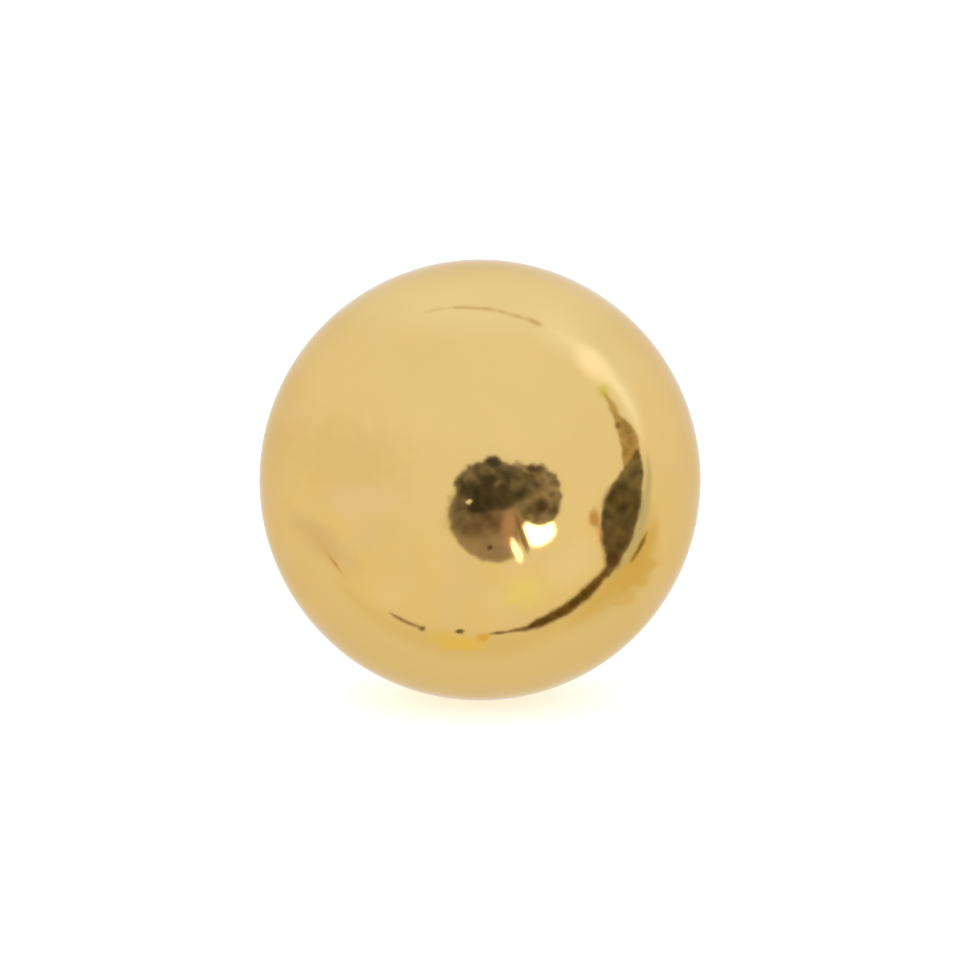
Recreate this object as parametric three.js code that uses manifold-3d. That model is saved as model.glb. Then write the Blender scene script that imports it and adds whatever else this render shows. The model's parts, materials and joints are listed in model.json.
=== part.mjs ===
// Ball stud earring: a hollow polished ball soldered to a straight ear post, and the butterfly back pushed
// on behind.
//
// Millimetres, +Z up. The stud lies on a level surface as it would by itself: on its ball and on the rear
// lower edges of the back's two scrolls, with the post sloping down to the rear. The origin is under the
// middle of the whole stud, on that surface; the ball faces -Y and the post runs towards +Y.
//
// Every shape is first made about the post's own axis: Y runs back along the post from the ball's centre,
// X goes across and Z up. One turn about X then lays the stud down.
import * as THREE from 'three';
import { mergeVertices } from 'three/addons/utils/BufferGeometryUtils.js';
import Module from 'manifold-3d';

const wasm = await Module();
wasm.setup();

// ---- ball and post ----
const BALL_RADIUS = 4;
const WALL = 0.22; // of the hollow ball
const VENT_RADIUS = 0.25; // the hole behind, which lets the air out while the ball is soldered
const VENT_ANGLE = THREE.MathUtils.degToRad(35); // at the ball's centre, from the post down to the vent
const POST_RADIUS = 0.4;
const POST_LENGTH = 11; // from the back of the ball to the tip
const SOLDER_RADIUS = 0.4; // hollow curve of the solder between ball and post
const TIP_RADIUS = 0.25; // rounding of the post's end

// ---- butterfly back: one strip of sheet, each end rolled back on itself ----
const LOBE_GAP = 5.3; // clear length of post for the ear lobe
const SHEET = 0.25;
const PLATE_RADIUS = 2.3; // round front plate
const ARM_HALF_WIDTH = 2; // the strip that is rolled, narrower than the plate
const HOLE_CLEARANCE = 0.06; // round the post, in the plate's hole
const SCROLL_CLEARANCE = 0.05; // between a scroll and the post that it grips
const SCROLL_RADIUS = 1.2; // of the strip's middle line where the roll starts
const SCROLL_PITCH = 0.4; // how far the roll closes in one turn
const SCROLL_TURNS = 1.4;
const GRIP_TURNS = 0.75; // how far round the roll the strip passes the post

// ---- fineness of the round surfaces ----
const SIDES_ROUND = 48;
const SIDES_HOLE = 32;
const SIDES_VENT = 16;
const STEPS_HALF_BALL = 12;
const STEPS_FILLET = 4;
const STEPS_PER_TURN = 30;

const gold = (name, roughness) =>
  new THREE.MeshStandardMaterial({ name, color: 0xe4c281, metalness: 1, roughness });

/** Points on an arc in the (radius, axis) half-plane. */
function arc(centreX, centreY, radius, from, to, steps) {
  return Array.from({ length: steps + 1 }, (_, i) => {
    const angle = from + ((to - from) * i) / steps;
    return new THREE.Vector2(centreX + radius * Math.cos(angle), centreY + radius * Math.sin(angle));
  });
}

/** The hollow ball with its vent, the solder fillet and the post, one solid because solder joins them. */
function ballWithPost() {
  const tip = BALL_RADIUS + POST_LENGTH;
  const filletX = POST_RADIUS + SOLDER_RADIUS;
  const filletY = Math.sqrt((BALL_RADIUS + SOLDER_RADIUS) ** 2 - filletX ** 2);
  const meeting = Math.atan2(filletY, filletX); // where the ball runs into the solder

  const front = arc(0, 0, BALL_RADIUS, -Math.PI / 2, 0, STEPS_HALF_BALL);
  const rear = arc(0, 0, BALL_RADIUS, 0, meeting, STEPS_HALF_BALL).slice(1);
  front[0].x = 0;
  const solder = arc(filletX, filletY, SOLDER_RADIUS, Math.PI + meeting, Math.PI, STEPS_FILLET).slice(1);
  const end = arc(POST_RADIUS - TIP_RADIUS, tip - TIP_RADIUS, TIP_RADIUS, 0, Math.PI / 2, STEPS_FILLET);
  const profile = [...front, ...rear, ...solder, ...end, new THREE.Vector2(0, tip)];
  const turned = toSolid(new THREE.LatheGeometry(profile, SIDES_ROUND));

  const hollow = toSolid(new THREE.SphereGeometry(BALL_RADIUS - WALL, SIDES_HOLE, SIDES_HOLE / 2));
  const vent = new THREE.CylinderGeometry(VENT_RADIUS, VENT_RADIUS, 4 * WALL, SIDES_VENT);
  vent.translate(0, BALL_RADIUS, 0).rotateX(-VENT_ANGLE);
  return toGeometry(turned.subtract(hollow).subtract(toSolid(vent)));
}

const plateFront = BALL_RADIUS + LOBE_GAP;
const plateMiddle = plateFront + SHEET / 2;
const scrollRadius = (turns) => SCROLL_RADIUS - SCROLL_PITCH * turns;
const scrollX = POST_RADIUS + SCROLL_CLEARANCE + SHEET / 2 + scrollRadius(GRIP_TURNS);
const scrollY = plateMiddle + SCROLL_RADIUS;

/** The strip's middle line from the post's axis to the end of one scroll, as points with unit normals. */
function halfStrip() {
  const points = [{ x: 0, y: plateMiddle, nx: 0, ny: -1 }];
  const steps = Math.round(SCROLL_TURNS * STEPS_PER_TURN);
  for (let i = 0; i <= steps; i += 1) {
    const turns = (SCROLL_TURNS * i) / steps;
    const angle = 2 * Math.PI * turns;
    const [nx, ny] = [Math.sin(angle), -Math.cos(angle)];
    points.push({ x: scrollX + scrollRadius(turns) * nx, y: scrollY + scrollRadius(turns) * ny, nx, ny });
  }
  return points;
}

/** The strip's edge outline, seen along the scrolls: both faces of the sheet, from scroll to scroll. */
function stripOutline() {
  const half = halfStrip();
  const side = (sign, mirror) =>
    half.map(({ x, y, nx, ny }) =>
      new THREE.Vector2(mirror * (x + (sign * nx * SHEET) / 2), y + (sign * ny * SHEET) / 2));
  const outer = [...side(1, -1).slice(1).reverse(), ...side(1, 1).slice(1)];
  const inner = [...side(-1, 1).slice(1).reverse(), ...side(-1, -1).slice(1)];
  return new THREE.Shape([...outer, ...inner]);
}

/** A closed geometry as a solid that can be joined and cut. */
function toSolid(geometry) {
  const bare = geometry.clone();
  bare.deleteAttribute('normal');
  bare.deleteAttribute('uv');
  const merged = mergeVertices(bare);
  return new wasm.Manifold(new wasm.Mesh({
    numProp: 3,
    vertProperties: merged.attributes.position.array,
    triVerts: new Uint32Array(merged.index.array),
  }));
}

/** A solid's surface as a three.js geometry. */
function toGeometry(solid) {
  const { vertProperties, triVerts } = solid.getMesh();
  const geometry = new THREE.BufferGeometry();
  geometry.setAttribute('position', new THREE.BufferAttribute(vertProperties, 3));
  geometry.setIndex(new THREE.BufferAttribute(triVerts, 1));
  geometry.computeVertexNormals();
  return geometry;
}

/** A cylinder about the post's axis, from one distance along it to another. */
function axialCylinder(radius, from, to, sides) {
  const cylinder = new THREE.CylinderGeometry(radius, radius, to - from, sides);
  return toSolid(cylinder.translate(0, (from + to) / 2, 0));
}

/** The butterfly back: the strip in full width, trimmed to a round plate and two arms, with the post's hole. */
function butterflyBack() {
  const strip = new THREE.ExtrudeGeometry(stripOutline(), { depth: 2 * PLATE_RADIUS, bevelEnabled: false });
  strip.translate(0, 0, -PLATE_RADIUS);
  const span = 4 * SCROLL_RADIUS; // larger than the back every way
  const arms = new THREE.BoxGeometry(2 * span, 2 * span, 2 * ARM_HALF_WIDTH).translate(0, scrollY, 0);
  const plate = axialCylinder(PLATE_RADIUS, plateFront - SHEET, plateFront + 2 * SHEET, SIDES_ROUND);
  const hole = axialCylinder(POST_RADIUS + HOLE_CLEARANCE, plateFront - SHEET, plateFront + 2 * SHEET, SIDES_HOLE);
  return toGeometry(toSolid(strip).intersect(toSolid(arms).add(plate)).subtract(hole));
}

/** The angle of the post to the surface, from where the ball and the scrolls' rear edges touch it. */
function restTilt() {
  const rear = scrollY + scrollRadius(0.5) + SHEET / 2;
  return Math.asin(BALL_RADIUS / Math.hypot(rear, ARM_HALF_WIDTH)) - Math.atan2(ARM_HALF_WIDTH, rear);
}

/** A named piece of the earring. */
function piece(name, geometry, material) {
  const mesh = new THREE.Mesh(geometry, material);
  mesh.name = name;
  return mesh;
}

const stud = new THREE.Group();
stud.add(piece('ball_with_post', ballWithPost(), gold('polished gold', 0.06)));
stud.add(piece('butterfly_back', butterflyBack(), gold('stamped gold', 0.18)));
stud.rotation.x = -restTilt();

// The origin goes to the middle of the stud's box, on the surface.
const group = new THREE.Group();
group.add(stud);
const box = new THREE.Box3().setFromObject(group, true);
const middle = box.getCenter(new THREE.Vector3());
stud.position.set(-middle.x, -middle.y, -box.min.z);

export default group;
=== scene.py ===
"""Ball stud earring in polished yellow gold, lying on a white surface inside a white light tent.

The earring is a hollow ball with a soldered ear post and a butterfly back rolled from one strip of sheet.
Every piece is first made about the post's own axis (X across, Y back along the post from the ball's centre,
Z up) and then laid down into the frame's place.
"""
from __future__ import annotations

import json
import logging
import math
from dataclasses import dataclass, field
from enum import Enum
from typing import Any

import bmesh
import bpy
from mathutils import Matrix, Vector

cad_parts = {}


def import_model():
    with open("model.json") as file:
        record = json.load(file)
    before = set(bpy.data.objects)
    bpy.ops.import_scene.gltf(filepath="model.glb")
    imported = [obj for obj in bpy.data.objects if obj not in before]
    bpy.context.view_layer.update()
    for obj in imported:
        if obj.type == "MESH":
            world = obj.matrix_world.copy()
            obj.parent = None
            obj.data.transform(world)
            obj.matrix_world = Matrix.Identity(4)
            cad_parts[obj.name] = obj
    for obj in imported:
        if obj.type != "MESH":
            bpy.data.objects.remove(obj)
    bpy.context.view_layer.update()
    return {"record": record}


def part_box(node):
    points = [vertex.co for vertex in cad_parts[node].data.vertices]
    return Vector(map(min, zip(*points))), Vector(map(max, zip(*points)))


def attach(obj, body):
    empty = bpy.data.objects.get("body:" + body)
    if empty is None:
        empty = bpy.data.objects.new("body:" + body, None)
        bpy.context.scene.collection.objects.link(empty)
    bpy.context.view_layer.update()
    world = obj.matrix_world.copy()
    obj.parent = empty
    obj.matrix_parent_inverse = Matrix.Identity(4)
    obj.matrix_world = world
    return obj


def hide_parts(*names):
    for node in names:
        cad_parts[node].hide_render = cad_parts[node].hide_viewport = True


MM = 0.001
BALL_RADIUS = 4 * MM
SHARP_ANGLE = 35.0
log = logging.getLogger("ball_stud")


# ---------------------------------------------------------------- shared helpers


def linear(code: str) -> tuple[float, float, float, float]:
    """Turns an sRGB hex colour into linear light with full alpha.

    Args:
        code: six hex digits.

    Returns:
        Red, green, blue and alpha, each from 0 to 1.
    """
    parts = [int(code[i:i + 2], 16) / 255 for i in (0, 2, 4)]
    red, green, blue = (c / 12.92 if c <= 0.04045 else ((c + 0.055) / 1.055) ** 2.4 for c in parts)
    return red, green, blue, 1.0


def add_node(tree: bpy.types.NodeTree, kind: str, inputs: dict[Any, Any] | None = None,
             **settings: Any) -> bpy.types.Node:
    """Adds one node to a tree.

    Args:
        tree: the shader or geometry tree.
        kind: the node's type name.
        inputs: a value or another node's output for each input, by name or number.
        **settings: the node's own options.

    Returns:
        The new node.
    """
    node = tree.nodes.new(kind)
    for name, value in settings.items():
        setattr(node, name, value)
    for key, value in (inputs or {}).items():
        if isinstance(value, bpy.types.NodeSocket):
            tree.links.new(value, node.inputs[key])
        else:
            node.inputs[key].default_value = value
    return node


def smoothstep(value: float) -> float:
    """Eases a value between 0 and 1."""
    value = min(max(value, 0.0), 1.0)
    return value * value * (3 - 2 * value)


def object_of(name: str, mesh: bpy.types.Mesh) -> bpy.types.Object:
    """Puts a mesh in the scene as an object at the origin."""
    piece = bpy.data.objects.new(name, mesh)
    bpy.context.scene.collection.objects.link(piece)
    return piece


def finished_mesh(points: list[Vector], faces: list[list[int]], name: str) -> bpy.types.Mesh:
    """Makes a smooth mesh with merged doubles and faces that agree on a side.

    Args:
        points: the vertices.
        faces: vertex numbers of each face.
        name: the mesh's name.

    Returns:
        The new mesh.
    """
    shape = bmesh.new()
    made = [shape.verts.new(point) for point in points]
    for face in faces:
        shape.faces.new([made[i] for i in face])
    bmesh.ops.remove_doubles(shape, verts=shape.verts, dist=1e-7)
    bmesh.ops.recalc_face_normals(shape, faces=shape.faces)
    for face in shape.faces:
        face.smooth = True
    mesh = bpy.data.meshes.new(name)
    shape.to_mesh(mesh)
    shape.free()
    return mesh


def turned_mesh(profile: list[tuple[float, float]], sides: int, name: str) -> bpy.types.Mesh:
    """Turns a profile about the post's axis into a closed mesh.

    Args:
        profile: (radius, distance along the post), with its first and last point on the axis.
        sides: how many facets go round.
        name: the mesh's name.

    Returns:
        The closed mesh.
    """
    rings = profile[1:-1]
    points = [Vector((0, profile[0][1], 0)), Vector((0, profile[-1][1], 0))]
    for radius, along in rings:
        for i in range(sides):
            angle = 2 * math.pi * i / sides
            points.append(Vector((radius * math.cos(angle), along, radius * math.sin(angle))))
    faces = []
    for i in range(sides):
        j = (i + 1) % sides
        faces.append([0, 2 + i, 2 + j])
        last = 2 + (len(rings) - 1) * sides
        faces.append([1, last + j, last + i])
        for ring in range(len(rings) - 1):
            low = 2 + ring * sides
            faces.append([low + i, low + sides + i, low + sides + j, low + j])
    return finished_mesh(points, faces, name)


def arc(centre: tuple[float, float], radius: float, start: float, end: float,
        steps: int) -> list[tuple[float, float]]:
    """Points on an arc, both ends included.

    Args:
        centre: the arc's centre.
        radius: its radius.
        start: the first angle, in degrees.
        end: the last angle, in degrees.
        steps: how many chords stand for the arc.

    Returns:
        The points in order.
    """
    angles = [math.radians(start + (end - start) * i / steps) for i in range(steps + 1)]
    return [(centre[0] + radius * math.cos(a), centre[1] + radius * math.sin(a)) for a in angles]


class NodeShape:
    """A mesh made by a Geometry Nodes tree with named number inputs."""

    def __init__(self, name: str) -> None:
        """Starts an empty tree with a geometry input and output."""
        self.tree = bpy.data.node_groups.new(name, "GeometryNodeTree")
        self.tree.interface.new_socket("Geometry", in_out="INPUT", socket_type="NodeSocketGeometry")
        self.tree.interface.new_socket("Geometry", in_out="OUTPUT", socket_type="NodeSocketGeometry")
        self.values: dict[str, float] = {}
        self.entry: bpy.types.Node | None = None

    def inputs(self, **values: float) -> bpy.types.Node:
        """Args:
            **values: each input's name and value, in metres where it is a size.

        Returns:
            The group input node.
        """
        for name, value in values.items():
            kind = "NodeSocketInt" if isinstance(value, int) else "NodeSocketFloat"
            socket = self.tree.interface.new_socket(name, in_out="INPUT", socket_type=kind)
            self.values[socket.identifier] = value
        self.entry = self.node("NodeGroupInput")
        return self.entry

    def node(self, kind: str, inputs: dict[Any, Any] | None = None, **settings: Any) -> bpy.types.Node:
        """Adds a node to this tree."""
        return add_node(self.tree, kind, inputs, **settings)

    def maths(self, operation: str, *terms: Any) -> bpy.types.NodeSocket:
        """Works out one sum on numbers or sockets."""
        return self.node("ShaderNodeMath", dict(enumerate(terms)), operation=operation).outputs[0]

    def close(self, geometry: bpy.types.NodeSocket, material: bpy.types.Material) -> None:
        """Ends the tree: smooth faces between sharp edges, realized instances and one material.

        Args:
            geometry: what the tree has made.
            material: the piece's finish.
        """
        smooth = self.node("GeometryNodeSetShadeSmooth", {"Geometry": geometry})
        bend = self.node("GeometryNodeInputMeshEdgeAngle").outputs["Unsigned Angle"]
        gentle = self.maths("LESS_THAN", bend, math.radians(SHARP_ANGLE))
        eased = self.node("GeometryNodeSetShadeSmooth", {
            "Geometry": smooth.outputs[0], "Shade Smooth": gentle}, domain="EDGE")
        real = self.node("GeometryNodeRealizeInstances", {"Geometry": eased.outputs[0]})
        dressed = self.node("GeometryNodeSetMaterial", {"Geometry": real.outputs[0], "Material": material})
        self.node("NodeGroupOutput", {0: dressed.outputs[0]})

    def mesh(self, start: bpy.types.Mesh, name: str) -> bpy.types.Mesh:
        """Runs the tree on a starting mesh.

        Args:
            start: the mesh that enters the tree.
            name: the name of the mesh that comes out.

        Returns:
            A plain mesh with nothing live on it.
        """
        carrier = object_of(name + "_carrier", start)
        live = carrier.modifiers.new("shape", "NODES")
        live.node_group = self.tree
        for identifier, value in self.values.items():
            live[identifier] = value
        graph = bpy.context.evaluated_depsgraph_get()
        made = bpy.data.meshes.new_from_object(carrier.evaluated_get(graph), depsgraph=graph)
        made.name = name
        finish = next(slot for slot in made.materials if slot)
        made.materials.clear()
        made.materials.append(finish)
        carrier.modifiers.remove(live)
        bpy.data.objects.remove(carrier)
        return made


# ---------------------------------------------------------------- finishes


class Grain(Enum):
    """Which way the fine marks of a finish run, as the stretch of its pattern along X, Y and Z."""

    ROUND = (1.0, 1.0, 1.0)
    ALONG_POST = (1.0, 0.04, 1.0)
    ALONG_SHEET = (0.06, 0.5, 1.0)


@dataclass(frozen=True)
class GoldFinish:
    """Yellow gold of about 14 carat, whose look depends on how its surface was worked.

    Gold is a metal, so its colour is in its reflection: metallic 1 with the default IOR, pale warm yellow
    head on and almost white at a grazing edge. roughness and haze set how sharp the mirror is, and the marks
    are fine lines or pits left by the work.
    """

    name: str
    colour: str = "DEBC78"
    edge: str = "EBE2D6"
    roughness: float = 0.06
    haze: float = 0.03
    haze_size: float = 1.6 * MM
    mark_size: float = 0.12 * MM
    mark_depth: float = 0.0004 * MM
    grain: Grain = Grain.ROUND

    def material(self) -> bpy.types.Material:
        """Builds the node material."""
        material = bpy.data.materials.new(self.name)
        material.use_nodes = True
        tree = material.node_tree
        tree.nodes.clear()
        place = add_node(tree, "ShaderNodeTexCoord").outputs["Object"]

        cloud = add_node(tree, "ShaderNodeTexNoise", {
            "Vector": place, "Scale": 1 / self.haze_size, "Detail": 4.0, "Roughness": 0.6})
        rough = add_node(tree, "ShaderNodeMapRange", {
            "Value": cloud.outputs["Fac"], "From Min": 0.35, "From Max": 0.75,
            "To Min": self.roughness, "To Max": self.roughness + self.haze})
        tone = add_node(tree, "ShaderNodeMapRange", {
            "Value": cloud.outputs["Fac"], "From Min": 0.3, "From Max": 0.8,
            "To Min": 0.985, "To Max": 1.015})
        colour = add_node(tree, "ShaderNodeVectorMath", {
            0: linear(self.colour)[:3], "Scale": tone.outputs[0]}, operation="SCALE")

        stretched = add_node(tree, "ShaderNodeMapping", {"Vector": place, "Scale": self.grain.value})
        marks = add_node(tree, "ShaderNodeTexNoise", {
            "Vector": stretched.outputs[0], "Scale": 1 / self.mark_size, "Detail": 3.0, "Roughness": 0.55})
        bump = add_node(tree, "ShaderNodeBump", {
            "Height": marks.outputs["Fac"], "Distance": self.mark_depth, "Strength": 1.0})

        metal = add_node(tree, "ShaderNodeBsdfPrincipled", {
            "Base Color": colour.outputs[0], "Metallic": 1.0, "Roughness": rough.outputs[0],
            "Specular Tint": linear(self.edge), "Normal": bump.outputs[0]})
        add_node(tree, "ShaderNodeOutputMaterial", {"Surface": metal.outputs[0]})
        return material


# ---------------------------------------------------------------- the earring


@dataclass(frozen=True)
class StudPlace:
    """Where the stud lies: its ball's centre and the post's slope, read from the frame."""

    ball_radius: float
    centre: Vector
    tilt: float
    plate_front: float

    @classmethod
    def from_frame(cls, record: dict[str, Any], ball_radius: float) -> StudPlace:
        """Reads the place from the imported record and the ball's box.

        Args:
            record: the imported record.
            ball_radius: the ball's radius.

        Returns:
            The stud's place.
        """
        face = next(mount for mount in record["mounts"] if mount["name"] == "lobe_face")
        tilt = math.atan2(face["axis"][2], -face["axis"][1])
        low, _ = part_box("ball_with_post")
        centre = Vector((0, low.y + ball_radius, ball_radius))
        back = Vector((0, math.cos(tilt), -math.sin(tilt)))
        return cls(ball_radius, centre, tilt, (Vector(face["pos_m"]) - centre).dot(back))

    def matrix(self) -> Matrix:
        """The move from the post's own axes to the frame."""
        return Matrix.Translation(self.centre) @ Matrix.Rotation(-self.tilt, 4, "X")

    def front(self) -> Vector:
        """The direction that the ball faces, from its centre."""
        return Vector((0, -math.cos(self.tilt), math.sin(self.tilt)))


@dataclass
class GoldBall:
    """The hollow ball: pressed, soldered and polished by hand, so its mirror is a little wavy."""

    place: StudPlace
    level: int = 7
    broad_wave: float = 3.2 * MM
    broad_height: float = 0.008 * MM
    fine_wave: float = 0.9 * MM
    fine_height: float = 0.0022 * MM
    seed: float = 4.0
    wall: float = 0.22 * MM
    vent_radius: float = 0.25 * MM
    vent_angle: float = math.radians(35)
    inner_level: int = 5
    vent_sides: int = 48
    drill_walls: float = 4.0
    finish: GoldFinish = field(default_factory=lambda: GoldFinish("polished_gold_ball"))

    def build(self) -> bpy.types.Object:
        """Makes the ball from even triangles, pushed in and out by two soft waves, hollowed and vented."""
        shape = NodeShape("wavy_ball")
        sizes = shape.inputs(Radius=self.place.ball_radius, Level=self.level, Broad_Wave=self.broad_wave,
                             Broad_Height=self.broad_height, Fine_Wave=self.fine_wave,
                             Fine_Height=self.fine_height, Seed=self.seed, Wall=self.wall,
                             Vent_Radius=self.vent_radius, Vent_Angle=self.vent_angle)
        ball = shape.node("GeometryNodeMeshIcoSphere",
                          {"Radius": sizes.outputs["Radius"], "Subdivisions": sizes.outputs["Level"]})
        spot = shape.node("GeometryNodeInputPosition").outputs[0]
        push = None
        for kind in ("Broad", "Fine"):
            scale = shape.maths("DIVIDE", 1.0, sizes.outputs[kind + "_Wave"])
            wave = shape.node("ShaderNodeTexNoise",
                              {"Vector": spot, "W": sizes.outputs["Seed"], "Scale": scale, "Detail": 1.0},
                              noise_dimensions="4D")
            middle = shape.maths("SUBTRACT", wave.outputs["Fac"], 0.5)
            height = shape.maths("MULTIPLY", middle, sizes.outputs[kind + "_Height"])
            push = height if push is None else shape.maths("ADD", push, height)
        normal = shape.node("GeometryNodeInputNormal").outputs[0]
        offset = shape.node("ShaderNodeVectorMath", {0: normal, "Scale": push}, operation="SCALE")
        moved = shape.node("GeometryNodeSetPosition",
                           {"Geometry": ball.outputs["Mesh"], "Offset": offset.outputs[0]})
        for cutter in (self.hollow(shape), self.vent(shape)):
            moved = shape.node("GeometryNodeMeshBoolean", {"Mesh 1": moved.outputs[0], "Mesh 2": cutter},
                               operation="DIFFERENCE", solver="EXACT")
        shape.close(moved.outputs[0], self.finish.material())
        mesh = shape.mesh(bpy.data.meshes.new("nothing"), "ball")
        mesh.transform(self.place.matrix())
        return object_of("ball", mesh)

    def hollow(self, shape: NodeShape) -> bpy.types.NodeSocket:
        """The ball's inside, as a solid to cut away."""
        sizes = shape.entry.outputs
        inside = shape.maths("SUBTRACT", sizes["Radius"], sizes["Wall"])
        core = shape.node("GeometryNodeMeshIcoSphere", {"Radius": inside, "Subdivisions": self.inner_level})
        return core.outputs["Mesh"]

    def vent(self, shape: NodeShape) -> bpy.types.NodeSocket:
        """The vent through the wall, behind the ball and below the post, as a solid to cut away."""
        sizes = shape.entry.outputs
        depth = shape.maths("MULTIPLY", sizes["Wall"], self.drill_walls)
        drill = shape.node("GeometryNodeMeshCylinder", {
            "Vertices": self.vent_sides, "Radius": sizes["Vent_Radius"], "Depth": depth}).outputs["Mesh"]
        lean = shape.maths("SUBTRACT", -math.pi / 2, sizes["Vent_Angle"])
        turn = shape.node("ShaderNodeCombineXYZ", {0: lean}).outputs[0]
        level = shape.maths("MULTIPLY", sizes["Radius"], shape.maths("COSINE", sizes["Vent_Angle"]))
        drop = shape.maths("MULTIPLY", sizes["Radius"], shape.maths("SINE", sizes["Vent_Angle"]))
        below = shape.maths("MULTIPLY", drop, -1.0)
        spot = shape.node("ShaderNodeCombineXYZ", {1: level, 2: below}).outputs[0]
        return shape.node("GeometryNodeTransform", {
            "Geometry": drill, "Translation": spot, "Rotation": turn}).outputs[0]


@dataclass
class EarPost:
    """The ear post of drawn wire and the fillet of solder that joins it to the ball."""

    place: StudPlace
    radius: float = 0.4 * MM
    length: float = 11 * MM
    tip_radius: float = 0.25 * MM
    root: float = 0.14 * MM
    solder_radius: float = 0.4 * MM
    sides: int = 96
    wire_steps: int = 24
    tip_steps: int = 10
    fillet_steps: int = 16
    wire: GoldFinish = field(default_factory=lambda: GoldFinish(
        "drawn_gold_wire", roughness=0.11, haze=0.05, grain=Grain.ALONG_POST, mark_size=0.06 * MM,
        mark_depth=0.0012 * MM))
    solder: GoldFinish = field(default_factory=lambda: GoldFinish(
        "gold_solder", colour="DCBE82", roughness=0.2, haze=0.12, mark_size=0.16 * MM, mark_depth=0.004 * MM))

    def build_post(self) -> bpy.types.Object:
        """Turns the post, from just inside the ball to its rounded tip."""
        start = self.place.ball_radius - self.root
        tip = self.place.ball_radius + self.length
        side = self.radius
        straight = tip - self.tip_radius - start
        stations = [start + straight * i / self.wire_steps for i in range(self.wire_steps)]
        profile = [(0.0, start)] + [(side, along) for along in stations]
        middle = (side - self.tip_radius, tip - self.tip_radius)
        profile += arc(middle, self.tip_radius, 0, 90, self.tip_steps)
        profile += [(0.0, tip)]
        return self.dressed("ear_post", profile, self.wire)

    def build_solder(self) -> bpy.types.Object:
        """Turns the solder: a hollow curve that leaves the ball and meets the post."""
        middle = self.radius + self.solder_radius
        height = math.sqrt((self.place.ball_radius + self.solder_radius) ** 2 - middle ** 2)
        lean = math.degrees(math.atan2(height, middle))
        curve = arc((middle, height), self.solder_radius, 180 + lean, 180, self.fillet_steps)
        foot = curve[0][1] - self.root
        profile = [(0.0, foot), (curve[0][0], foot)] + curve + [(0.0, curve[-1][1])]
        return self.dressed("solder_joint", profile, self.solder)

    def dressed(self, name: str, profile: list[tuple[float, float]], finish: GoldFinish) -> bpy.types.Object:
        """Turns a profile, lays it in place and gives it its finish.

        Args:
            name: the piece's name.
            profile: (radius, distance along the post).
            finish: the piece's surface.

        Returns:
            The finished piece.
        """
        mesh = turned_mesh(profile, self.sides, name)
        mesh.transform(self.place.matrix())
        mesh.materials.append(finish.material())
        return object_of(name, mesh)


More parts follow.
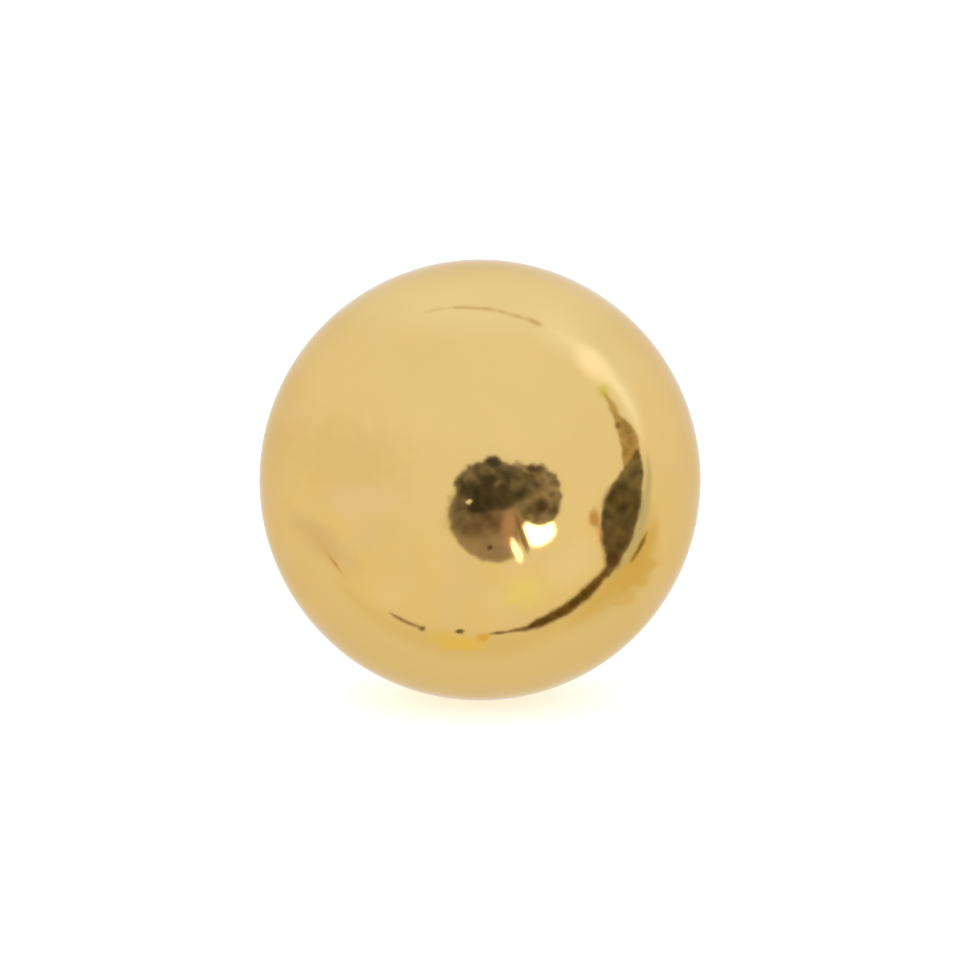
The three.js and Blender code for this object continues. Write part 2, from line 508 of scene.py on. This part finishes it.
@dataclass
class ButterflyBack:
    """The friction back: one stamped strip with a round plate, its two ends rolled into scrolls."""

    place: StudPlace
    sheet: float = 0.25 * MM
    plate_radius: float = 2.3 * MM
    arm_half_width: float = 2.0 * MM
    end_half_width: float = 1.7 * MM
    end_corner: float = 0.5 * MM
    post_radius: float = 0.4 * MM
    hole_clearance: float = 0.06 * MM
    scroll_clearance: float = 0.05 * MM
    scroll_radius: float = 1.2 * MM
    scroll_pitch: float = 0.4 * MM
    scroll_turns: float = 1.4
    grip_turns: float = 0.75
    dish_radius: float = 0.95 * MM
    dish_depth: float = 0.12 * MM
    shoulder: float = 0.12 * MM
    across: int = 12
    round_plate: int = 28
    rings: int = 16
    roll_steps: int = 84
    taper_start: float = 0.6
    ring_crowding: float = 1.4
    edge_width: float = 0.05 * MM
    edge_segments: int = 3
    edge_angle: float = math.radians(50)
    finish: GoldFinish = field(default_factory=lambda: GoldFinish(
        "stamped_gold_sheet", roughness=0.13, haze=0.07, grain=Grain.ALONG_SHEET, mark_size=0.09 * MM,
        mark_depth=0.0016 * MM))

    @property
    def flat_half_length(self) -> float:
        """How far the strip runs flat each side of the post before it rolls."""
        grip = self.scroll_radius - self.scroll_pitch * self.grip_turns
        return self.post_radius + self.scroll_clearance + self.sheet / 2 + grip

    @property
    def rolled_length(self) -> float:
        """The length of strip in one scroll."""
        turns = self.scroll_turns
        return 2 * math.pi * (self.scroll_radius * turns - self.scroll_pitch * turns ** 2 / 2)

    def half_width(self, along: float) -> float:
        """The strip's half width at a distance along it from the post.

        Args:
            along: distance along the flat strip, on either side.

        Returns:
            Half its width there.
        """
        along = abs(along)
        disc = math.sqrt(max(self.plate_radius ** 2 - along ** 2, 0.0))
        lead = min(max(0.5 + (disc - self.arm_half_width) / (2 * self.shoulder), 0.0), 1.0)
        width = self.arm_half_width + (disc - self.arm_half_width) * lead
        width += self.shoulder * lead * (1 - lead)
        end = self.flat_half_length + self.rolled_length
        taper_from = self.flat_half_length + self.taper_start * self.rolled_length
        taper = smoothstep((along - taper_from) / (end - taper_from))
        width -= (self.arm_half_width - self.end_half_width) * taper
        into_corner = max(along - (end - self.end_corner), 0.0)
        return width - self.end_corner + math.sqrt(max(self.end_corner ** 2 - into_corner ** 2, 0.0))

    def dish(self, point: Vector) -> float:
        """How far the sheet is pressed back near the hole."""
        hole = self.post_radius + self.hole_clearance
        out = (math.hypot(point.x, point.z) - hole) / (self.dish_radius - hole)
        return self.dish_depth * (1 - smoothstep(out))

    def blank(self) -> bpy.types.Mesh:
        """Makes the flat strip with its hole: rings about the hole in the middle, a grid on each arm."""
        flat = self.flat_half_length
        rows = [2 * i / self.across - 1 for i in range(self.across + 1)]
        column = [Vector((flat, 0, row * self.half_width(flat))) for row in rows]
        top = [Vector((x, 0, self.half_width(x)))
               for x in (flat * math.cos(math.pi * i / self.round_plate) for i in range(1, self.round_plate))]
        half = column + top
        outline = half + [Vector((-point.x, 0, -point.z)) for point in half]
        hole = self.post_radius + self.hole_clearance

        points: list[Vector] = []
        for ring in range(self.rings + 1):
            share = (ring / self.rings) ** self.ring_crowding
            for edge in outline:
                inner = edge.normalized() * hole
                point = inner.lerp(edge, share)
                points.append(Vector((point.x, self.dish(point), point.z)))
        around = len(outline)
        faces = [[ring * around + i, ring * around + (i + 1) % around,
                  (ring + 1) * around + (i + 1) % around, (ring + 1) * around + i]
                 for ring in range(self.rings) for i in range(around)]
        for side in (1, -1):
            first = len(points)
            for step in range(self.roll_steps + 1):
                along = flat + self.rolled_length * step / self.roll_steps
                points += [Vector((side * along, 0, row * self.half_width(along))) for row in rows]
            wide = self.across + 1
            faces += [[first + step * wide + i, first + step * wide + i + 1,
                       first + (step + 1) * wide + i + 1, first + (step + 1) * wide + i]
                      for step in range(self.roll_steps) for i in range(self.across)]
        return finished_mesh(points, faces, "blank")

    def roll_tree(self, material: bpy.types.Material) -> NodeShape:
        """Builds the rolling rule: past the flat plate, the strip winds round at a radius that shrinks.

        Args:
            material: the sheet's finish.

        Returns:
            The tree, ready for the flat blank.
        """
        shape = NodeShape("rolled_strip")
        sizes = shape.inputs(Flat_Half_Length=self.flat_half_length, Roll_Radius=self.scroll_radius,
                             Roll_Pitch=self.scroll_pitch)
        flat = sizes.outputs["Flat_Half_Length"]
        radius = sizes.outputs["Roll_Radius"]
        pitch = sizes.outputs["Roll_Pitch"]
        spot = shape.node("GeometryNodeInputPosition").outputs[0]
        parts = shape.node("ShaderNodeSeparateXYZ", {0: spot}).outputs
        reach = shape.maths("ABSOLUTE", parts[0])
        length = shape.maths("MAXIMUM", shape.maths("SUBTRACT", reach, flat), 0.0)
        square = shape.maths("MULTIPLY", radius, radius)
        used = shape.maths("DIVIDE", shape.maths("MULTIPLY", pitch, length), math.pi)
        shrunk = shape.maths("SQRT", shape.maths("SUBTRACT", square, used))
        turns = shape.maths("DIVIDE", shape.maths("SUBTRACT", radius, shrunk), pitch)
        angle = shape.maths("MULTIPLY", turns, 2 * math.pi)
        sideways = shape.maths("MULTIPLY", shrunk, shape.maths("SINE", angle))
        inwards = shape.maths("MULTIPLY", shrunk, shape.maths("COSINE", angle))
        side = shape.maths("SIGN", parts[0])
        rolled_x = shape.maths("MULTIPLY", side, shape.maths("ADD", flat, sideways))
        rolled_y = shape.maths("SUBTRACT", radius, inwards)
        rolled = shape.node("ShaderNodeCombineXYZ", {0: rolled_x, 1: rolled_y, 2: parts[2]})
        past = shape.maths("GREATER_THAN", reach, flat)
        moved = shape.node("GeometryNodeSetPosition", {
            "Geometry": sizes.outputs["Geometry"], "Selection": past, "Position": rolled.outputs[0]})
        shape.close(moved.outputs[0], material)
        return shape

    def build(self) -> bpy.types.Object:
        """Rolls the blank, lays it in place and gives it the sheet's thickness and eased edges."""
        mesh = self.roll_tree(self.finish.material()).mesh(self.blank(), "friction_back")
        middle = self.place.plate_front + self.sheet / 2
        mesh.transform(self.place.matrix() @ Matrix.Translation((0, middle, 0)))
        piece = object_of("friction_back", mesh)
        wall = piece.modifiers.new("sheet", "SOLIDIFY")
        wall.thickness = self.sheet
        wall.offset = 0
        wall.use_even_offset = True
        edge = piece.modifiers.new("eased_edges", "BEVEL")
        edge.width = self.edge_width
        edge.segments = self.edge_segments
        edge.limit_method = "ANGLE"
        edge.angle_limit = self.edge_angle
        edge.harden_normals = True
        return piece


# ---------------------------------------------------------------- the studio


@dataclass(frozen=True)
class Patch:
    """An oval thing in or beyond the tent that the gold mirrors.

    Places and sizes are on the tent's round chart: its middle is where the ball faces and its rim is behind
    it. The edge may be torn by a distance on the chart, and the tone may vary by a share of itself.
    """

    across: float
    up: float
    half_width: float
    half_height: float
    colour: str
    level: float = 1.0
    turn: float = 0.0
    soft: float = 0.12
    strength: float = 1.0
    torn: float = 0.0
    mottle: float = 0.0


@dataclass(frozen=True)
class Band:
    """A long thing along the tent's round seam, thickest at its middle and tapered to both ends.

    Angles run anticlockwise from the right, in degrees, about the seam's own centre on the tent's chart. The
    band drifts outwards by its drift from its start to its end. It grows inwards from its radius with a lean
    of 1 and outwards with -1. Its ends are rounded with a taper of 0.5 and pointed with 1.
    """

    start: float
    end: float
    radius: float
    half_width: float
    colour: str
    level: float = 1.0
    drift: float = 0.0
    lean: float = 0.0
    taper: float = 0.5
    soft: float = 0.012
    strength: float = 1.0
    torn: float = 0.0
    mottle: float = 0.0


FABRIC_LIGHT = (
    Patch(0.10, 0.60, 0.95, 0.72, "F4F9FF", level=1.12, soft=0.55, strength=0.85),
    Patch(0.05, 0.80, 0.55, 0.12, "E8F1FF", level=1.32, soft=0.60, strength=0.85),
    Patch(-0.62, 0.10, 0.27, 0.15, "F7F4E9", level=0.99, turn=-8, soft=0.75, strength=0.7, torn=0.040),
    Patch(-0.52, -0.09, 0.14, 0.07, "F0F2FF", level=1.13, soft=0.60, strength=0.80),
    Patch(-0.70, -0.28, 0.17, 0.055, "F4F0EC", level=0.93, turn=-42, soft=0.70, strength=0.8, torn=0.010),
    Patch(0.40, -0.37, 0.12, 0.08, "F6FAFF", level=1.10, turn=38, soft=0.75, strength=0.8),
    Patch(0.20, -0.50, 0.11, 0.05, "F9FFDA", level=1.07, turn=12, soft=0.60, torn=0.020),
)
BOARD_EDGE = (
    Band(200, 345, 0.86, 0.15, "F8F9F1", level=0.99, soft=0.12),
    Band(212, 335, 0.775, 0.045, "F3EFD6", level=0.99, soft=0.05, strength=0.9),
    Band(-60, -8, 0.800, 0.052, "EEE1AC", level=0.97, soft=0.06),
    Patch(0.690, -0.425, 0.115, 0.060, "EDDD9E", level=0.97, turn=52, soft=0.60, strength=0.9, torn=0.020),
    Band(16, 100, 0.790, 0.050, "E8F1FF", level=1.25, soft=0.07, strength=0.6),
    Patch(0.355, 0.665, 0.070, 0.120, "E4ECFF", level=1.42, turn=50, soft=0.80, strength=0.9),
    Band(8, 64, 0.745, 0.022, "DFEAFF", level=1.62, drift=-0.050, soft=0.035),
    Patch(0.500, 0.520, 0.045, 0.085, "E4EAFF", level=1.85, turn=45, soft=0.80, strength=0.8),
    Band(16, 52, 0.738, 0.012, "E3EEFF", level=1.62, drift=-0.064, soft=0.018),
    Band(58, 110, 0.732, 0.005, "D9C8A0", drift=0.040, soft=0.010, strength=0.8, torn=0.004),
    Patch(0.245, 0.707, 0.035, 0.010, "D8C8A0", turn=-25, soft=0.70, strength=0.7),
    Band(199, 223, 0.746, 0.010, "F0E4BE", drift=-0.020, soft=0.020, strength=0.7),
    Band(206, 218, 0.744, 0.004, "D2B484", drift=-0.010, soft=0.005, torn=0.003),
    Band(238, 252, 0.7285, 0.007, "8C7458", soft=0.006, torn=0.002),
    Patch(-0.257, -0.660, 0.014, 0.012, "7A6650", soft=0.35, torn=0.004),
    Patch(-0.095, -0.725, 0.110, 0.032, "FAEEAC", level=1.03, turn=-4, soft=0.60, torn=0.010),
    Patch(-0.088, -0.677, 0.017, 0.010, "70604C", soft=0.40, torn=0.004),
    Patch(0.006, -0.703, 0.026, 0.014, "F4DA8C", soft=0.50, torn=0.006),
    Band(272, 304, 0.7245, 0.007, "866C4C", soft=0.006, torn=0.003),
    Band(285, 331, 0.733, 0.026, "6A5228", soft=0.009, torn=0.005, mottle=0.35),
    Band(-34, -13, 0.842, 0.026, "F0DFA2", level=0.97, soft=0.030, strength=0.85, torn=0.008),
    Band(-38, 8, 0.780, 0.018, "D6DEDE", soft=0.014, strength=0.95),
    Band(-31, -18, 0.812, 0.010, "8E7844", drift=0.012, soft=0.008, torn=0.003),
)
OPEN_SIDE = (
    Patch(0.514, -0.185, 0.022, 0.044, "D8B88C", turn=12, soft=0.60, torn=0.008),
    Patch(0.545, -0.250, 0.014, 0.044, "D8B0A0", turn=6, soft=0.60),
    Patch(0.546, 0.392, 0.024, 0.028, "EEFFBC", soft=0.60),
    Band(12, 35, 0.668, 0.015, "CDBC90", lean=-1.0, taper=1.0, soft=0.010, torn=0.004, mottle=0.20),
    Band(-4, 23, 0.664, 0.042, "BCAB84", lean=-1.0, taper=0.6, soft=0.007, torn=0.004, mottle=0.35),
    Patch(0.614, 0.243, 0.014, 0.015, "8C7A58", soft=0.60),
    Band(-39, 10, 0.759, 0.082, "7A7464", drift=-0.014, lean=1.0, taper=1.0, soft=0.006, torn=0.004,
         mottle=0.45),
    Patch(0.612, -0.250, 0.052, 0.110, "6A6150", turn=-19, soft=0.35, mottle=0.45),
    Patch(0.634, -0.110, 0.084, 0.095, "625C4A", turn=-5, soft=0.25, mottle=0.50),
    Patch(0.592, -0.360, 0.034, 0.040, "624C3C", turn=-20, soft=0.50, mottle=0.30),
)
LENS_OPENING = (
    Patch(0.070, -0.160, 0.205, 0.203, "A99C94", soft=0.05, torn=0.005, mottle=0.10),
    Patch(-0.010, -0.170, 0.120, 0.080, "78695F", soft=0.50, torn=0.010, mottle=0.30),
    Patch(-0.075, -0.130, 0.060, 0.070, "807A72", soft=0.50, torn=0.010, mottle=0.35),
    Patch(0.226, -0.306, 0.056, 0.070, "FFFFFF", soft=0.25, strength=0.95),
    Patch(0.128, -0.195, 0.026, 0.078, "C6A69C", turn=-4, soft=0.60, torn=0.006),
    Patch(0.162, -0.312, 0.016, 0.054, "FFFFFF", level=3.0, turn=21, soft=0.40),
    Patch(0.256, -0.230, 0.078, 0.061, "FFFFFF", level=5.2, turn=18, soft=0.16),
    Patch(0.188, -0.243, 0.014, 0.092, "90785A", turn=18, soft=0.40, torn=0.004),
    Patch(0.262, -0.118, 0.086, 0.086, "726C60", soft=0.08, mottle=0.50),
    Patch(0.265, -0.062, 0.097, 0.128, "928A82", soft=0.08, torn=0.008, mottle=0.60),
    Patch(0.036, -0.010, 0.152, 0.100, "74706A", turn=10, soft=0.08, torn=0.010, mottle=0.75),
    Patch(0.160, -0.020, 0.080, 0.082, "6C6860", soft=0.20, torn=0.008, mottle=0.60),
    Patch(0.060, -0.080, 0.125, 0.062, "524E48", soft=0.25, torn=0.010, mottle=0.45),
    Patch(0.020, -0.020, 0.100, 0.024, "3C3832", turn=20, soft=0.60, strength=0.85, torn=0.010),
    Patch(0.000, -0.118, 0.080, 0.024, "46423A", soft=0.50, torn=0.008, mottle=0.30),
    Patch(0.272, -0.118, 0.032, 0.032, "504638", soft=0.60, torn=0.006),
    Patch(0.230, 0.052, 0.060, 0.016, "54463C", turn=-12, soft=0.50, torn=0.010),
    Patch(0.060, 0.085, 0.034, 0.018, "4A4A4C", soft=0.40, torn=0.010),
    Patch(-0.049, -0.098, 0.012, 0.006, "FFFFFF", level=1.5, turn=25, soft=0.60),
    Patch(0.043, -0.300, 0.012, 0.011, "3A2E26", soft=0.50),
)


@dataclass
class StudioTent:
    """White fabric round the stud, with an opening for the lens and an open side beside the back board."""

    place: StudPlace
    fabric: str = "FFFFFF"
    warm: str = "FFFCE6"
    brightness: float = 1.06
    backdrop: float = 1.1
    wrinkle: float = 0.012
    wrinkle_scale: float = 9.0
    tear_grain: tuple[float, float] = (17.0, 2.0)
    tone_grain: tuple[float, float] = (19.0, 2.2)
    fold_grain: tuple[float, float] = (3.0, 3.0)
    warm_grain: tuple[float, float] = (5.0, 2.0)
    fold_levels: tuple[float, float] = (0.965, 1.01)
    grain_span: tuple[float, float] = (0.32, 0.68)
    seam_centre: tuple[float, float] = (-0.027, 0.032)
    things: tuple[Band | Patch, ...] = FABRIC_LIGHT + BOARD_EDGE + OPEN_SIDE + LENS_OPENING

    def build(self) -> None:
        """Makes the tent the scene's world."""
        world = bpy.data.worlds.new("light_tent")
        world.use_nodes = True
        bpy.context.scene.world = world
        self.tree = world.node_tree
        self.tree.nodes.clear()
        self.chart = self.flat_chart()
        self.distance, self.angle = self.polar()
        self.tear = self.grain(*self.tear_grain)
        self.tone = self.grain(*self.tone_grain)
        light = self.fabric_light()
        for thing in self.things:
            light = self.laid_over(light, thing)
        path = self.node("ShaderNodeLightPath").outputs
        level = self.spread(path["Is Camera Ray"], (0.0, 1.0), (self.brightness, self.backdrop))
        even = self.node("ShaderNodeBackground", {"Color": linear(self.fabric), "Strength": level})
        full = self.node("ShaderNodeBackground", {"Color": light, "Strength": 1.0})
        shown = self.node("ShaderNodeMixShader", {
            0: path["Is Glossy Ray"], 1: even.outputs[0], 2: full.outputs[0]})
        self.node("ShaderNodeOutputWorld", {"Surface": shown.outputs[0]})
        world.cycles.sampling_method = "NONE"

    def node(self, kind: str, inputs: dict[Any, Any] | None = None, **settings: Any) -> bpy.types.Node:
        """Adds a node to the world's tree."""
        return add_node(self.tree, kind, inputs, **settings)

    def maths(self, operation: str, *terms: Any) -> bpy.types.NodeSocket:
        """Works out one sum on numbers or sockets."""
        return self.node("ShaderNodeMath", dict(enumerate(terms)), operation=operation).outputs[0]

    def spread(self, value: bpy.types.NodeSocket, source: tuple[float, float], target: tuple[float, float],
               kind: str = "LINEAR") -> bpy.types.NodeSocket:
        """Maps a value from one span of numbers to another, and holds it there.

        Args:
            value: the socket to map.
            source: the span it comes from.
            target: the span it goes to.
            kind: how it eases between them.

        Returns:
            The mapped value.
        """
        ends = {"Value": value, "From Min": source[0], "From Max": source[1],
                "To Min": target[0], "To Max": target[1]}
        return self.node("ShaderNodeMapRange", ends, interpolation_type=kind).outputs[0]

    def flat_chart(self) -> bpy.types.NodeSocket:
        """Flattens each direction to a place on the tent's chart, an equal-area one about the ball's front.

        Returns:
            The place as a vector, a little disturbed by the fabric's wrinkles.
        """
        direction = self.node("ShaderNodeTexCoord").outputs["Generated"]
        own = self.node("ShaderNodeVectorRotate", {"Vector": direction, "Angle": self.place.tilt},
                        rotation_type="X_AXIS")
        parts = self.node("ShaderNodeSeparateXYZ", {0: own.outputs[0]}).outputs
        facing = self.maths("MAXIMUM", self.maths("SUBTRACT", 1.0, parts[1]), 1e-5)
        spread = self.maths("SQRT", self.maths("MULTIPLY", facing, 2.0))
        flat = self.node("ShaderNodeCombineXYZ", {
            0: self.maths("DIVIDE", parts[0], spread), 1: self.maths("DIVIDE", parts[2], spread)})
        folds = self.node("ShaderNodeTexNoise", {
            "Vector": flat.outputs[0], "Scale": self.wrinkle_scale, "Detail": 2.0})
        middle = self.node("ShaderNodeVectorMath", {0: folds.outputs["Color"], 1: (0.5, 0.5, 0.5)},
                           operation="SUBTRACT")
        shift = self.node("ShaderNodeVectorMath", {0: middle.outputs[0], "Scale": self.wrinkle},
                          operation="SCALE")
        moved = self.node("ShaderNodeVectorMath", {0: flat.outputs[0], 1: shift.outputs[0]}, operation="ADD")
        level = self.node("ShaderNodeVectorMath", {0: moved.outputs[0], 1: (1, 1, 0)}, operation="MULTIPLY")
        return level.outputs[0]

    def grain(self, scale: float, detail: float) -> bpy.types.NodeSocket:
        """Uneven grain on the chart, from -1 to 1."""
        noise = self.node("ShaderNodeTexNoise", {"Vector": self.chart, "Scale": scale, "Detail": detail})
        return self.spread(noise.outputs["Fac"], self.grain_span, (-1.0, 1.0))

    def fabric_light(self) -> bpy.types.NodeSocket:
        """The fabric's own glow: almost even, with soft folds that are a little warmer or duller."""
        folds = self.spread(self.grain(*self.fold_grain), (-1.0, 1.0), self.fold_levels)
        warmth = self.spread(self.grain(*self.warm_grain), (-1.0, 1.0), (0.0, 1.0))
        tint = self.node("ShaderNodeMix", {"Factor": warmth, 6: linear(self.fabric), 7: linear(self.warm)},
                         data_type="RGBA").outputs[2]
        level = self.maths("MULTIPLY", folds, self.brightness)
        return self.node("ShaderNodeVectorMath", {0: tint, "Scale": level}, operation="SCALE").outputs[0]

    def polar(self) -> tuple[bpy.types.NodeSocket, bpy.types.NodeSocket]:
        """Distance and angle about the seam's centre, the angle in degrees."""
        centre = (self.seam_centre[0], self.seam_centre[1], 0)
        spot = self.node("ShaderNodeVectorMath", {0: self.chart, 1: centre}, operation="SUBTRACT").outputs[0]
        distance = self.node("ShaderNodeVectorMath", {0: spot}, operation="LENGTH").outputs["Value"]
        parts = self.node("ShaderNodeSeparateXYZ", {0: spot}).outputs
        return distance, self.maths("DEGREES", self.maths("ARCTAN2", parts[1], parts[0]))

    def band_mask(self, band: Band) -> bpy.types.NodeSocket:
        """How much of a band shows at each place.

        Args:
            band: the band.

        Returns:
            0 outside it and up to its strength inside.
        """
        half = (band.end - band.start) / 2
        middle = (band.start + band.end) / 2
        ahead = self.maths("WRAP", self.maths("SUBTRACT", self.angle, middle), 180.0, -180.0)
        share = self.spread(self.maths("DIVIDE", ahead, half), (-1.0, 1.0), (-1.0, 1.0))
        left = self.maths("SUBTRACT", 1.0, self.maths("MULTIPLY", share, share))
        fullness = self.maths("POWER", left, band.taper)
        width = self.maths("MULTIPLY", fullness, band.half_width + band.soft)
        radius = self.maths("MULTIPLY_ADD", share, band.drift / 2, band.radius)
        if band.lean:
            radius = self.maths("MULTIPLY_ADD", fullness, -band.lean * band.half_width, radius)
        off = self.maths("ABSOLUTE", self.maths("SUBTRACT", self.distance, radius))
        inside = self.maths("SUBTRACT", width, off)
        if band.torn:
            ragged = self.maths("MULTIPLY_ADD", self.tear, band.torn, inside)
            inside = self.maths("MINIMUM", ragged, self.maths("MULTIPLY", width, 4.0))
        return self.spread(inside, (0.0, 2 * band.soft), (0.0, band.strength), "SMOOTHSTEP")

    def patch_mask(self, patch: Patch) -> bpy.types.NodeSocket:
        """How much of a patch shows at each place.

        Args:
            patch: the patch.

        Returns:
            0 outside it and up to its strength inside.
        """
        own = self.node("ShaderNodeMapping", {
            "Vector": self.chart, "Location": (patch.across, patch.up, 0),
            "Rotation": (0, 0, math.radians(patch.turn)), "Scale": (patch.half_width, patch.half_height, 1)},
            vector_type="TEXTURE")
        out = self.node("ShaderNodeVectorMath", {0: own.outputs[0]}, operation="LENGTH").outputs["Value"]
        if patch.torn:
            reach = patch.torn / min(patch.half_width, patch.half_height)
            out = self.maths("MULTIPLY_ADD", self.tear, reach, out)
        return self.spread(out, (1 + patch.soft, 1 - patch.soft), (0.0, patch.strength), "SMOOTHSTEP")

    def laid_over(self, light: bpy.types.NodeSocket, thing: Band | Patch) -> bpy.types.NodeSocket:
        """Lays a band or patch over what is there already."""
        mask = self.band_mask(thing) if isinstance(thing, Band) else self.patch_mask(thing)
        colour = [thing.level * self.brightness * part for part in linear(thing.colour)[:3]]
        shown: Any = colour + [1.0]
        if thing.mottle:
            tone = self.maths("MULTIPLY_ADD", self.tone, thing.mottle, 1.0)
            varied = self.node("ShaderNodeVectorMath", {0: colour, "Scale": tone}, operation="SCALE")
            shown = varied.outputs[0]
        return self.node("ShaderNodeMix", {"Factor": mask, 6: light, 7: shown}, data_type="RGBA").outputs[2]


@dataclass
class Surface:
    """The matt white acrylic that the stud lies on, with a faint light under it."""

    half_size: float = 3.0
    colour: str = "FCFCFC"
    glow: float = 0.52

    def build(self) -> bpy.types.Object:
        """Makes the surface, which glows faintly but isn't mirrored in the stud."""
        size = self.half_size
        corners = [Vector((across * size, along * size, 0))
                   for across, along in ((-1, -1), (1, -1), (1, 1), (-1, 1))]
        mesh = finished_mesh(corners, [[0, 1, 2, 3]], "surface")
        material = bpy.data.materials.new("matt_white_acrylic")
        material.use_nodes = True
        tree = material.node_tree
        tree.nodes.clear()
        sheet = add_node(tree, "ShaderNodeBsdfDiffuse", {"Color": linear(self.colour), "Roughness": 0.0})
        light = add_node(tree, "ShaderNodeEmission", {"Color": linear(self.colour), "Strength": self.glow})
        lit = add_node(tree, "ShaderNodeAddShader", {0: sheet.outputs[0], 1: light.outputs[0]})
        add_node(tree, "ShaderNodeOutputMaterial", {"Surface": lit.outputs[0]})
        mesh.materials.append(material)
        surface = object_of("surface", mesh)
        surface.visible_glossy = False
        return surface


@dataclass
class Camera:
    """A long macro lens that looks straight along the post at the ball's front."""

    place: StudPlace
    lens: float = 200.0
    ball_share: float = 0.46

    def build(self) -> bpy.types.Object:
        """Places the camera so that the ball takes its share of the picture's width."""
        data = bpy.data.cameras.new("macro_lens")
        data.lens = self.lens
        data.clip_start = 1 * MM
        data.clip_end = 10.0
        width = 2 * self.place.ball_radius / self.ball_share
        distance = width * self.lens / data.sensor_width
        camera = bpy.data.objects.new("camera", data)
        front = self.place.front()
        camera.location = self.place.centre + front * distance
        camera.rotation_mode = "QUATERNION"
        camera.rotation_quaternion = (-front).to_track_quat("-Z", "Y")
        bpy.context.scene.collection.objects.link(camera)
        bpy.context.scene.camera = camera
        return camera


def main() -> None:
    """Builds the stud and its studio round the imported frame."""
    logging.basicConfig(level=logging.INFO, format="%(name)s: %(message)s")
    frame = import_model()
    place = StudPlace.from_frame(frame["record"], BALL_RADIUS)
    Camera(place).build()

    ball = GoldBall(place).build()
    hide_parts("ball_with_post")
    post = EarPost(place)
    back = ButterflyBack(place).build()
    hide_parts("butterfly_back")
    slots = ((ball, "polished_gold"), (post.build_solder(), "polished_gold"),
             (post.build_post(), "polished_gold"), (back, "stamped_gold"))
    for piece, slot in slots:
        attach(piece, "root")
        log.info("%s: %d faces", piece.name, len(piece.data.polygons))

    StudioTent(place).build()
    Surface().build()
    bpy.context.scene.view_settings.view_transform = "Standard"


if __name__ == "__main__":
    main()
